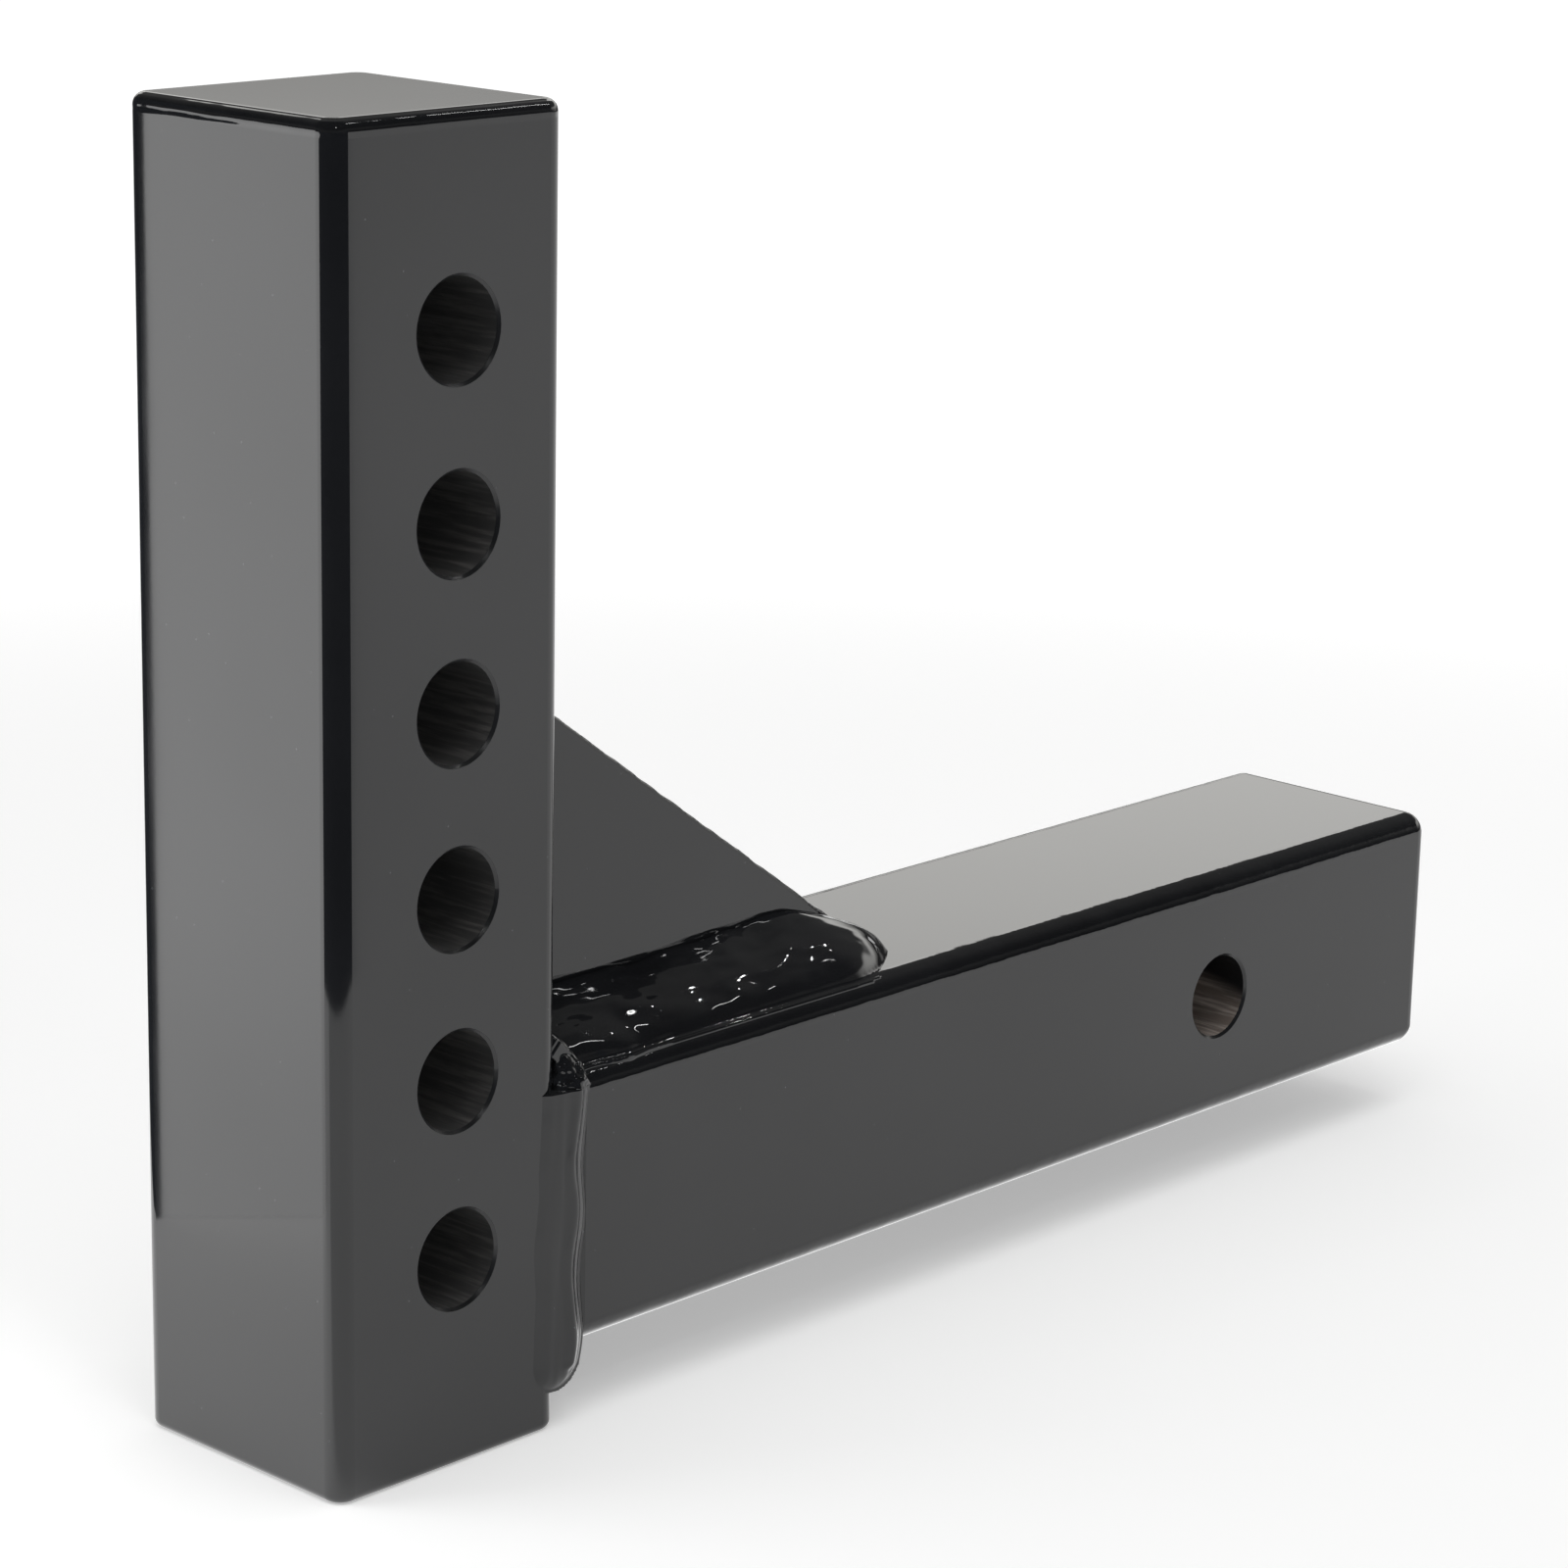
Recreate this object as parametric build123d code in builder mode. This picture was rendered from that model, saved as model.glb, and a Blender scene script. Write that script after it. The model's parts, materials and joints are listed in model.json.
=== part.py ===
import math
import os

from build123d import *

# Welded shank of an adjustable ball mount, in millimetres. The origin is the centre of the
# hitch pin hole, +X runs along the shank away from the upright, +Y along the pin, +Z up.

# Receiver shank, solid square bar that slides into a 2 inch receiver
shank_size = 50.8
shank_length = 254.0  # back face of the upright to the free end
shank_corner_radius = 4.4
shank_end_radius = 4.0
pin_hole_diameter = 16.67
pin_hole_end_distance = 69.85  # free end to the pin
weld_bevel = 6.35  # sides of the near end

# Upright bar, which carries the ball head: the same bar stock, flush with the shank's sides
upright_size = shank_size
upright_height = 231.775
upright_corner_radius = 3.6
upright_top_edge_radius = 2.2
upright_bottom_edge_radius = 1.6
upright_drop = 13.5  # below the underside of the shank

# Adjustment holes through the upright
adjust_hole_count = 6
adjust_hole_diameter = 17.46
adjust_hole_pitch = 31.75
adjust_hole_top_margin = 35.5  # top of the bar to the first hole
adjust_hole_setback = 27.0  # front face to the holes
hole_mouth_chamfer = 0.5

# Gusset plate
gusset_thickness = 12.7
gusset_length = 88.9
gusset_height = 65.1
gusset_toe = 6.35  # blunt end on the shank
gusset_crown = 6.35  # blunt end on the upright
cut_wave = 0.12  # ripple left by the torch
cut_wave_pitch = 14.0
gusset_edge_break = 0.6  # corners melted off along the torch cut

# Weld beads
foot_bead_height = 10.5
foot_bead_margin = 0.2  # clear of the shank's rounded edge
foot_bead_run_out = 13.7  # past the plate's toe
foot_bead_nose = 34.0  # length of its rounded end
head_bead_leg = 8.0
head_bead_run_out = 8.5  # above the plate's crown
head_bead_nose = 16.0
side_bead_proud = 1.3
side_bead_overlap = 3.3  # onto the upright
side_bead_depth = 7.2
side_bead_sag = 6.0  # below the underside of the shank
cross_bead_leg = 7.5
cross_bead_depth = 7.0  # down over the shank's rounded edge
cross_bead_end_proud = 1.0
bottom_bead_leg = 6.5
bead_end_slope = 2.2  # slanted off the outer ends of the top beads
sag_end_slope = 3.2  # slanted off the low ends of the side beads
bead_bulge = 0.6  # middle of a fillet's face, as a share of its legs

# Where the pieces meet
shank_end = pin_hole_end_distance
back_face = shank_end - shank_length
front_face = back_face - upright_size
upright_middle = back_face - upright_size / 2
shank_top = shank_size / 2
shank_bottom = -shank_size / 2
upright_bottom = shank_bottom - upright_drop
upright_top = upright_bottom + upright_height
shank_side = shank_size / 2
plate_side = gusset_thickness / 2


# Upright bar
with BuildPart() as upright_bar:
    with BuildSketch(Plane.XY.offset(upright_bottom)):
        with Locations((upright_middle, 0)):
            Rectangle(upright_size, upright_size)
    extrude(amount=upright_height)
    fillet(upright_bar.edges().filter_by(Axis.Z), upright_corner_radius)
    fillet(upright_bar.faces().sort_by(Axis.Z)[-1].edges(), upright_top_edge_radius)
    fillet(upright_bar.faces().sort_by(Axis.Z)[0].edges(), upright_bottom_edge_radius)
    first_hole = upright_top - adjust_hole_top_margin
    with BuildSketch(Plane.XZ.offset(upright_size / 2)):
        for row in range(adjust_hole_count):
            with Locations((front_face + adjust_hole_setback, first_hole - row * adjust_hole_pitch)):
                Circle(adjust_hole_diameter / 2)
    extrude(amount=-upright_size, mode=Mode.SUBTRACT)
    mouths = upright_bar.edges().filter_by(GeomType.CIRCLE).filter_by(
        lambda edge: abs(edge.radius - adjust_hole_diameter / 2) < 1e-6
    )
    chamfer(mouths, hole_mouth_chamfer)

# Receiver shank, with both sides of its near end bevelled for the side welds
with BuildPart() as receiver_shank:
    with BuildSketch(Plane.YZ.offset(back_face)):
        RectangleRounded(shank_size, shank_size, shank_corner_radius)
    extrude(amount=shank_length)
    fillet(receiver_shank.faces().sort_by(Axis.X)[-1].edges(), shank_end_radius)
    with BuildSketch(Plane.XZ.offset(shank_size / 2)):
        Circle(pin_hole_diameter / 2)
    extrude(amount=-shank_size, mode=Mode.SUBTRACT)
    pin_mouths = receiver_shank.edges().filter_by(GeomType.CIRCLE).filter_by(
        lambda edge: abs(edge.radius - pin_hole_diameter / 2) < 1e-6
    )
    chamfer(pin_mouths, hole_mouth_chamfer)
    with BuildSketch(Plane.XY.offset(shank_bottom)):
        for side in (-1, 1):
            with BuildLine():
                Polyline(
                    (back_face, side * (shank_side - weld_bevel)),
                    (back_face + weld_bevel, side * shank_side),
                    (back_face, side * shank_side),
                    close=True,
                )
            make_face()
    extrude(amount=shank_size, mode=Mode.SUBTRACT)

# Gusset plate, its sloping edge left slightly wavy by the torch
toe_corner = Vector(back_face + gusset_length, shank_top + gusset_toe)
crown_corner = Vector(back_face + gusset_crown, shank_top + gusset_height)
slope = toe_corner - crown_corner
slope_normal = Vector(-slope.Y, slope.X).normalized()
wave_count = 2 * round(slope.length / cut_wave_pitch)
with BuildPart() as gusset_plate:
    with BuildSketch(Plane.XZ.offset(-plate_side)):
        with BuildLine():
            Polyline(
                toe_corner,
                (back_face + gusset_length, shank_top),
                (back_face, shank_top),
                (back_face, shank_top + gusset_height),
                crown_corner,
            )
            torch_points = [
                crown_corner
                + slope * (step / wave_count)
                + slope_normal * cut_wave * math.sin(2.4 * step) * (0 < step < wave_count)
                for step in range(wave_count + 1)
            ]
            Spline(*torch_points)
        make_face()
    extrude(amount=gusset_thickness)
    chamfer(gusset_plate.edges().filter_by(GeomType.BSPLINE), gusset_edge_break)


def arched_bead(plane, run, nose, half_width, height):
    """Bead on a flat face: a low arch along the plane's X, ending in a rounded nose."""
    radius = (half_width**2 + height**2) / (2 * height)
    depth = radius - height
    nose_reach = nose / math.sqrt(1 - (depth / radius) ** 2)
    axis_plane = plane.offset(-depth)
    side_plane = Plane(axis_plane.origin, x_dir=plane.x_dir, z_dir=-plane.y_dir)
    with BuildPart() as bead:
        with BuildSketch(side_plane):
            with BuildLine():
                Line((0, 0), (0, radius))
                Line((0, radius), (run - nose, radius))
                EllipticalCenterArc((run - nose, 0), nose_reach, radius, arc_size=90)
                Line((run - nose + nose_reach, 0), (0, 0))
            make_face()
        revolve(axis=Axis(axis_plane.origin, axis_plane.x_dir))
        split(bisect_by=plane, keep=Keep.TOP)
    return bead


def cross_weld(side):
    """Fillet across the top of the shank, from the plate to a knot over the rounded corner."""
    with BuildPart() as bead:
        with BuildSketch(Plane.XZ.offset(-side * plate_side)):
            with BuildLine():
                top = (back_face, shank_top + cross_bead_leg)
                toe = (back_face + cross_bead_leg, shank_top)
                bulge = cross_bead_leg * bead_bulge
                ThreePointArc(top, (back_face + bulge, shank_top + bulge), toe)
                sunk = shank_top - cross_bead_depth
                Polyline(toe, (back_face + cross_bead_leg, sunk), (back_face, sunk), top)
            make_face()
        extrude(amount=-side * (shank_side + cross_bead_end_proud - plate_side))
        outer_end = bead.faces().sort_by(Axis.Y)[0 if side < 0 else -1]
        chamfer(outer_end.edges().filter_by(GeomType.CIRCLE), bead_end_slope)
        add(upright_bar.part, mode=Mode.SUBTRACT)
        add(receiver_shank.part, mode=Mode.SUBTRACT)
    return bead


shank_top_weld_right = cross_weld(-1)
shank_top_weld_left = cross_weld(1)


def side_weld(side, knot):
    """Vertical bead in the groove beside the shank's near end, sagging past its lower edge."""
    rim = side * shank_side
    inner = side * (shank_side - side_bead_depth)
    left = back_face - side_bead_overlap
    right = back_face + weld_bevel
    crest = side * (shank_side + side_bead_proud)
    bottom = shank_bottom - side_bead_sag
    with BuildPart() as bead:
        with BuildSketch(Plane.XY.offset(bottom)):
            with BuildLine():
                ThreePointArc((left, rim), ((left + right) / 2, crest), (right, rim))
                Polyline((right, rim), (right, inner), (left, inner), (left, rim))
            make_face()
        extrude(amount=shank_top - shank_corner_radius / 2 - bottom)
        low_edges = bead.faces().sort_by(Axis.Z)[0].edges()
        chamfer(low_edges.filter_by(GeomType.CIRCLE) + low_edges.sort_by(Axis.X)[-1:], sag_end_slope)
        add(upright_bar.part, mode=Mode.SUBTRACT)
        add(receiver_shank.part, mode=Mode.SUBTRACT)
        add(knot.part, mode=Mode.SUBTRACT)
    return bead


shank_side_weld_right = side_weld(-1, shank_top_weld_right)
shank_side_weld_left = side_weld(1, shank_top_weld_left)

# Bead under the shank, between the ends of the side beads
with BuildPart() as shank_bottom_weld:
    with BuildSketch(Plane.XZ.offset(shank_side)):
        with BuildLine():
            low = (back_face, shank_bottom - bottom_bead_leg)
            toe = (back_face + bottom_bead_leg, shank_bottom)
            bulge = bottom_bead_leg * bead_bulge
            ThreePointArc(low, (back_face + bulge, shank_bottom - bulge), toe)
            sunk = shank_bottom + shank_corner_radius
            Polyline(toe, (back_face + bottom_bead_leg, sunk), (back_face, sunk), low)
        make_face()
    extrude(amount=-shank_size)
    add(upright_bar.part, mode=Mode.SUBTRACT)
    add(receiver_shank.part, mode=Mode.SUBTRACT)
    add(shank_side_weld_right.part, mode=Mode.SUBTRACT)
    add(shank_side_weld_left.part, mode=Mode.SUBTRACT)

# Bead round the foot of the gusset: along both sides and round the toe
foot_half_width = shank_side - shank_corner_radius - foot_bead_margin
foot_run = gusset_length + foot_bead_run_out
foot_plane = Plane(origin=(back_face, 0, shank_top), x_dir=(1, 0, 0), z_dir=(0, 0, 1))
foot_bead = arched_bead(foot_plane, foot_run, foot_bead_nose, foot_half_width, foot_bead_height)
with BuildPart() as gusset_foot_weld:
    add(foot_bead.part)
    add(gusset_plate.part, mode=Mode.SUBTRACT)
    add(shank_top_weld_right.part, mode=Mode.SUBTRACT)
    add(shank_top_weld_left.part, mode=Mode.SUBTRACT)

# Bead round the head of the gusset, on the back of the upright
head_half_width = plate_side + head_bead_leg
head_run = gusset_height + head_bead_run_out
head_plane = Plane(origin=(back_face, 0, shank_top), x_dir=(0, 0, 1), z_dir=(1, 0, 0))
head_bead = arched_bead(head_plane, head_run, head_bead_nose, head_half_width, head_bead_leg)
with BuildPart() as gusset_head_weld:
    add(head_bead.part)
    add(gusset_plate.part, mode=Mode.SUBTRACT)
    add(shank_top_weld_right.part, mode=Mode.SUBTRACT)
    add(shank_top_weld_left.part, mode=Mode.SUBTRACT)
    add(gusset_foot_weld.part, mode=Mode.SUBTRACT)

pieces = {
    "upright_bar": upright_bar,
    "receiver_shank": receiver_shank,
    "gusset_plate": gusset_plate,
    "gusset_foot_weld": gusset_foot_weld,
    "gusset_head_weld": gusset_head_weld,
    "shank_side_weld_right": shank_side_weld_right,
    "shank_side_weld_left": shank_side_weld_left,
    "shank_top_weld_right": shank_top_weld_right,
    "shank_top_weld_left": shank_top_weld_left,
    "shank_bottom_weld": shank_bottom_weld,
}
os.makedirs("parts", exist_ok=True)
for name, piece in pieces.items():
    piece.part.label = name
    export_step(piece.part, f"parts/{name}.step")
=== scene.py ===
import json
import math

import bmesh
import bpy
import mathutils
from mathutils import Euler, Matrix, Vector

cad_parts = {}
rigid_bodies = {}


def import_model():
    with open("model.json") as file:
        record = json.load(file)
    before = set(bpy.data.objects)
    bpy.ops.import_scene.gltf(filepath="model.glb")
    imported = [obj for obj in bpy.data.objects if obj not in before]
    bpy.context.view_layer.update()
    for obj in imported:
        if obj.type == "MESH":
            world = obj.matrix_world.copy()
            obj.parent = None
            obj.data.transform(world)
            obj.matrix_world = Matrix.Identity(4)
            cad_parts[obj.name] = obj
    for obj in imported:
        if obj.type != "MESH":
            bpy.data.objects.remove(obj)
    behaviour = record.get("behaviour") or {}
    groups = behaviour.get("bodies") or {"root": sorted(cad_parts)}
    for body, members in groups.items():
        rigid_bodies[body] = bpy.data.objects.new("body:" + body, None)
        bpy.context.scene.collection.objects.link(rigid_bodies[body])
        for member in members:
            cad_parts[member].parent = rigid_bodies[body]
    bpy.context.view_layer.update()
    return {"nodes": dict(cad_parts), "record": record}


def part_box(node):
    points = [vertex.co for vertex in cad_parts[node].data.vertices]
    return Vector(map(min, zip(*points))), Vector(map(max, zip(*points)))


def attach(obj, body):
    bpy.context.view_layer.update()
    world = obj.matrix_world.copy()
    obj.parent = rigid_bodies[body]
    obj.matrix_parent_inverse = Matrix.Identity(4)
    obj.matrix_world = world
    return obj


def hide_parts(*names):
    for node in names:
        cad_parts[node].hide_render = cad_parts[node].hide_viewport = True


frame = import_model()
print("frame loaded,", len(frame["nodes"]), "nodes")

# Where the parts stand, read from the frame
uprightLow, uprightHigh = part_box("upright_bar")
shankLow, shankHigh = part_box("receiver_shank")
plateLow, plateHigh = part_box("gusset_plate")
backFace = uprightHigh.x  # the upright's face that the shank is welded to
shankTop = shankHigh.z
shankBottom = shankLow.z
barSide = shankHigh.y
plateSide = plateHigh.y
floorHeight = uprightLow.z
mm = 0.001
bores = {
    mount["name"]: (mount["pos_m"][0], mount["pos_m"][2], mount["dims"]["r_mm"] * mm)
    for mount in frame["record"]["mounts"] if mount["kind"] == "bore"
}


# Small helpers for modelling

def dropPick():
    if bpy.context.mode != "OBJECT":
        bpy.ops.object.mode_set(mode="OBJECT")
    bpy.ops.object.select_all(action="DESELECT")


def pickOnly(piece):
    dropPick()
    piece.select_set(True)
    bpy.context.view_layer.objects.active = piece


def editPiece(piece):
    pickOnly(piece)
    bpy.ops.object.mode_set(mode="EDIT")
    bpy.ops.mesh.select_mode(type="VERT")
    bpy.ops.mesh.select_all(action="DESELECT")


def pickVerts(piece, test):
    # piece is in edit mode; test is given each vertex
    mesh = bmesh.from_edit_mesh(piece.data)
    for vert in mesh.verts:
        vert.select = bool(test(vert))
    mesh.select_flush(True)
    bmesh.update_edit_mesh(piece.data)


def leaveEdit():
    bpy.ops.object.mode_set(mode="OBJECT")


def applyPlace(piece):
    pickOnly(piece)
    bpy.ops.object.transform_apply(location=True, rotation=True, scale=True)


def applyModifier(piece, kind, **settings):
    modifier = piece.modifiers.new(kind.lower(), kind)
    for key, value in settings.items():
        setattr(modifier, key, value)
    pickOnly(piece)
    bpy.ops.object.modifier_apply(modifier=modifier.name)


def addGuide(place, stretch, turn=(0, 0, 0)):
    # an empty whose scale stretches a texture, removed once it has been used
    dropPick()
    bpy.ops.object.empty_add(location=place, rotation=turn)
    guide = bpy.context.active_object
    guide.scale = stretch
    bpy.context.view_layer.update()
    return guide


def roughen(piece, place, stretch, strength, group="", depth=2, direction="NORMAL"):
    # pushes the surface in and out by a cloud texture that the guide stretches
    texture = bpy.data.textures.new(piece.name + "Clouds", "CLOUDS")
    texture.noise_scale = 1.0
    texture.noise_depth = depth
    guide = addGuide(place, stretch)
    applyModifier(
        piece, "DISPLACE", texture=texture, texture_coords="OBJECT", texture_coords_object=guide,
        mid_level=0.5, strength=strength, vertex_group=group, direction=direction,
    )
    bpy.data.objects.remove(guide)


def finishPiece(piece, name, material, slot, *nodes):
    piece.name = name
    piece.data.name = name
    piece.data.materials.clear()
    piece.data.materials.append(material)
    pickOnly(piece)
    bpy.ops.object.shade_smooth()
    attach(piece, "root")
    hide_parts(*nodes)


# Shader groups that the finishes share

def newGroup(name, inputs, outputs):
    tree = bpy.data.node_groups.new(name, "ShaderNodeTree")
    for label, kind, value in inputs:
        socket = tree.interface.new_socket(name=label, in_out="INPUT", socket_type=kind)
        if value is not None:
            socket.default_value = value
    for label, kind in outputs:
        tree.interface.new_socket(name=label, in_out="OUTPUT", socket_type=kind)
    return tree, tree.nodes.new("NodeGroupInput"), tree.nodes.new("NodeGroupOutput")


def addNode(tree, kind, settings=None, inputs=None):
    # inputs maps a socket's name or number to a value, or to the output that feeds it
    node = tree.nodes.new("ShaderNode" + kind)
    for key, value in (settings or {}).items():
        setattr(node, key, value)
    for key, value in (inputs or {}).items():
        if isinstance(value, bpy.types.NodeSocket):
            tree.links.new(value, node.inputs[key])
        else:
            node.inputs[key].default_value = value
    return node


def mathNode(tree, operation, first, second=0.0):
    return addNode(tree, "Math", {"operation": operation}, {0: first, 1: second}).outputs[0]


def vectorNode(tree, operation, first, second):
    # a vector, or a value where the operation gives one
    node = addNode(tree, "VectorMath", {"operation": operation}, {0: first, 1: second})
    return node.outputs["Value" if operation in ("DISTANCE", "DOT_PRODUCT") else "Vector"]


def noiseNode(tree, place, **values):
    settings = {"Vector": place}
    for key, value in values.items():
        settings[key.capitalize()] = value
    return addNode(tree, "TexNoise", inputs=settings).outputs["Fac"]


def mixNode(tree, factor, first, second):
    return addNode(tree, "Mix", inputs={"Factor": factor, "A": first, "B": second}).outputs["Result"]


def mixColour(tree, factor, first, second):
    return addNode(tree, "Mix", {"data_type": "RGBA"}, {
        "Factor": factor, "A": first, "B": second,
    }).outputs["Result"]


def partsOf(tree, place):
    return addNode(tree, "SeparateXYZ", inputs={"Vector": place}).outputs


def rampNode(tree, value, low, high, outLow=0.0, outHigh=1.0):
    # a smooth step from low to high
    return addNode(
        tree, "MapRange", {"interpolation_type": "SMOOTHSTEP"},
        {"Value": value, "From Min": low, "From Max": high, "To Min": outLow, "To Max": outHigh},
    ).outputs["Result"]


def makeCoatSkin():
    # sprayed coat: long swells in the film and a fine orange peel, as a height in metres
    tree, given, out = newGroup(
        "coatSkin",
        [("Place", "NodeSocketVector", None), ("Swell Size", "NodeSocketFloat", 0.03),
         ("Swell Height", "NodeSocketFloat", 0.00001), ("Peel Size", "NodeSocketFloat", 0.0012),
         ("Peel Height", "NodeSocketFloat", 0.0000005)],
        [("Height", "NodeSocketFloat")],
    )
    place = given.outputs["Place"]
    swellScale = mathNode(tree, "DIVIDE", 1.0, given.outputs["Swell Size"])
    peelScale = mathNode(tree, "DIVIDE", 1.0, given.outputs["Peel Size"])
    swell = noiseNode(tree, place, scale=swellScale, detail=1.0, roughness=0.4)
    peel = noiseNode(tree, place, scale=peelScale, detail=2.0, roughness=0.5)
    tall = mathNode(tree, "MULTIPLY", swell, given.outputs["Swell Height"])
    fine = mathNode(tree, "MULTIPLY", peel, given.outputs["Peel Height"])
    tree.links.new(mathNode(tree, "ADD", tall, fine), out.inputs["Height"])
    return tree


def makeDustAndGlintSpecks():
    # scattered pale specks in the coat colour: partly dust grains that settled in the wet coat, partly
    # painted glints where the light sparkles on it
    tree, given, out = newGroup(
        "dustAndGlintSpecks",
        [("Place", "NodeSocketVector", None), ("Spacing", "NodeSocketFloat", 0.004),
         ("Size", "NodeSocketFloat", 0.045), ("Share", "NodeSocketFloat", 0.5)],
        [("Mask", "NodeSocketFloat")],
    )
    cells = addNode(tree, "TexVoronoi", {"feature": "F1"}, {
        "Vector": given.outputs["Place"],
        "Scale": mathNode(tree, "DIVIDE", 1.0, given.outputs["Spacing"]),
        "Randomness": 1.0,
    })
    dot = rampNode(tree, cells.outputs["Distance"], given.outputs["Size"], 0.0)
    picked = addNode(tree, "SeparateColor", inputs={"Color": cells.outputs["Color"]}).outputs["Red"]
    kept = mathNode(tree, "LESS_THAN", picked, given.outputs["Share"])
    tree.links.new(mathNode(tree, "MULTIPLY", dot, kept), out.inputs["Mask"])
    return tree


coatSkin = makeCoatSkin()
dustAndGlintSpecks = makeDustAndGlintSpecks()

coatLook = {
    "black": (0.0085, 0.0089, 0.0100, 1.0),
    "haze": (0.0125, 0.0130, 0.0145, 1.0),
    # pale colour of the specks, which are dust and painted glints
    "dustAndGlint": (0.17, 0.18, 0.19, 1.0),
    "roughness": 0.035,
    "roughnessDrift": 0.03,
    "ior": 1.58,
}
boreSheenLook = {
    # thin dull coat on the drilled walls of the upright, with a paler streaked colour that is painted sheen
    "pale": (0.100, 0.097, 0.094, 1.0),
    "dark": (0.045, 0.045, 0.045, 1.0),
    "metal": 0.0,
    "roughness": 0.42,
    "rim": 0.30,
}
wallShape = {
    "slack": 0.08 * mm,  # past the drilled radius, still wall
    "rim": (0.62 * mm, 0.46 * mm),  # past the drilled radius, where the broken rim fades out
    "mouth": 0.55 * mm,  # the wall starts this far in
    "stretch": 0.05,  # streaks are long across the bar
    "streakScale": 1100.0,
    "streakRange": (0.42, 0.68),
    "groove": 0.02 * mm,
}
pinLook = {
    # bare steel that the pin has rubbed, stained brown
    "pale": (0.70, 0.62, 0.57, 1.0),
    "dark": (0.30, 0.25, 0.22, 1.0),
    "metal": 0.5,
    "roughness": 0.40,
    "rim": 0.25,
    "fade": (0.0, -6 * mm),  # painted shade: the bare steel turns to the dark coat colour above this height near the rim
    "climb": 0.24,  # and from higher up deep inside
}


def boreWall(tree, place, names):
    # masks of the drilled walls and of their broken rims, and streaks along the walls, which are painted
    # sheen in the colour and shallow grooves in the height
    flat = vectorNode(tree, "MULTIPLY", place, (1.0, 0.0, 1.0))
    mask = rim = 0.0
    rimOuter, rimInner = wallShape["rim"]
    for name in names:
        x, z, radius = bores[name]
        away = vectorNode(tree, "DISTANCE", flat, (x, 0.0, z))
        inside = mathNode(tree, "LESS_THAN", away, radius + wallShape["slack"])
        mask = mathNode(tree, "MAXIMUM", inside, mask)
        ring = rampNode(tree, away, radius + rimOuter, radius + rimInner)
        rim = mathNode(tree, "MAXIMUM", ring, rim)
    across = mathNode(tree, "ABSOLUTE", partsOf(tree, place)["Y"])
    within = mathNode(tree, "LESS_THAN", across, barSide - wallShape["mouth"])
    mask = mathNode(tree, "MULTIPLY", mask, within)
    long = vectorNode(tree, "MULTIPLY", place, (1.0, wallShape["stretch"], 1.0))
    sheenStreaks = noiseNode(tree, long, scale=wallShape["streakScale"], detail=4.0, roughness=0.65)
    return mask, rim, rampNode(tree, sheenStreaks, *wallShape["streakRange"])


def makeCoat(look):
    material = bpy.data.materials.new(look["name"])
    material.use_nodes = True
    tree = material.node_tree
    shader = tree.nodes["Principled BSDF"]
    shader.inputs["IOR"].default_value = coatLook["ior"]
    place = addNode(tree, "TexCoord").outputs["Object"]

    skin = addNode(tree, "Group", {"node_tree": coatSkin}, {
        "Place": place, "Swell Size": look["swellSize"], "Swell Height": look["swellHeight"],
        "Peel Height": look["peelHeight"],
    })
    dustAndGlint = addNode(tree, "Group", {"node_tree": dustAndGlintSpecks}, {
        "Place": place, "Size": look["dustAndGlintSize"], "Share": look["dustAndGlintShare"],
    }).outputs["Mask"]
    drift = noiseNode(tree, place, scale=22.0, detail=3.0)
    colour = mixColour(tree, rampNode(tree, drift, 0.35, 0.7), coatLook["black"], coatLook["haze"])
    # the specks paint dust and glints into the coat colour
    colour = mixColour(tree, dustAndGlint, colour, coatLook["dustAndGlint"])
    gloss = look.get("roughness", coatLook["roughness"])
    rough = rampNode(tree, drift, 0.3, 0.8, gloss, gloss + coatLook["roughnessDrift"])
    height = skin.outputs["Height"]

    if "arris" in look:
        height = mathNode(tree, "ADD", height, look["arris"](tree, place))
    if "bores" in look:
        wall = look["wall"]
        mask, rim, sheenStreaks = boreWall(tree, place, look["bores"])
        # painted sheen: the streaks lay a paler and a darker colour along the drilled walls; on the pin
        # hole's bare steel they are also rub marks
        steel = mixColour(tree, sheenStreaks, wall["dark"], wall["pale"])
        # painted shade: where a bore has a fade, its upper wall turns from the bare steel to the coat's
        # haze colour
        if "fade" in wall:
            parts = partsOf(tree, place)
            deep = mathNode(tree, "ADD", parts["Y"], barSide)
            rise = mathNode(tree, "SUBTRACT", parts["Z"], mathNode(tree, "MULTIPLY", deep, wall["climb"]))
            steel = mixColour(tree, rampNode(tree, rise, *wall["fade"]), coatLook["haze"], steel)
        colour = mixColour(tree, mask, colour, steel)
        rough = mixNode(tree, rim, rough, wall["rim"])
        rough = mixNode(tree, mask, rough, wall["roughness"])
        tree.links.new(mathNode(tree, "MULTIPLY", mask, wall["metal"]), shader.inputs["Metallic"])
        grooves = mathNode(tree, "MULTIPLY", mathNode(tree, "MULTIPLY", mask, sheenStreaks), wallShape["groove"])
        height = mathNode(tree, "ADD", height, grooves)
    bump = addNode(tree, "Bump", inputs={"Height": height, "Distance": 1.0, "Strength": 1.0})
    tree.links.new(colour, shader.inputs["Base Color"])
    tree.links.new(rough, shader.inputs["Roughness"])
    tree.links.new(bump.outputs["Normal"], shader.inputs["Normal"])
    return material


arrisShape = {
    "topEdge": (3.2 * mm, 2.0 * mm),  # below the upright's top, where its rounded edge starts
    "topClear": (0.1 * mm, 0.5 * mm),  # and where the flat top begins
    "topScale": 75.0,
    "topHeight": 0.40 * mm,
    "corner": (4.6 * mm, 3.6 * mm),  # in from the shank's faces, where its rolled corners start
    "cornerScale": 160.0,
    "cornerHeight": 0.16 * mm,
}


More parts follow.
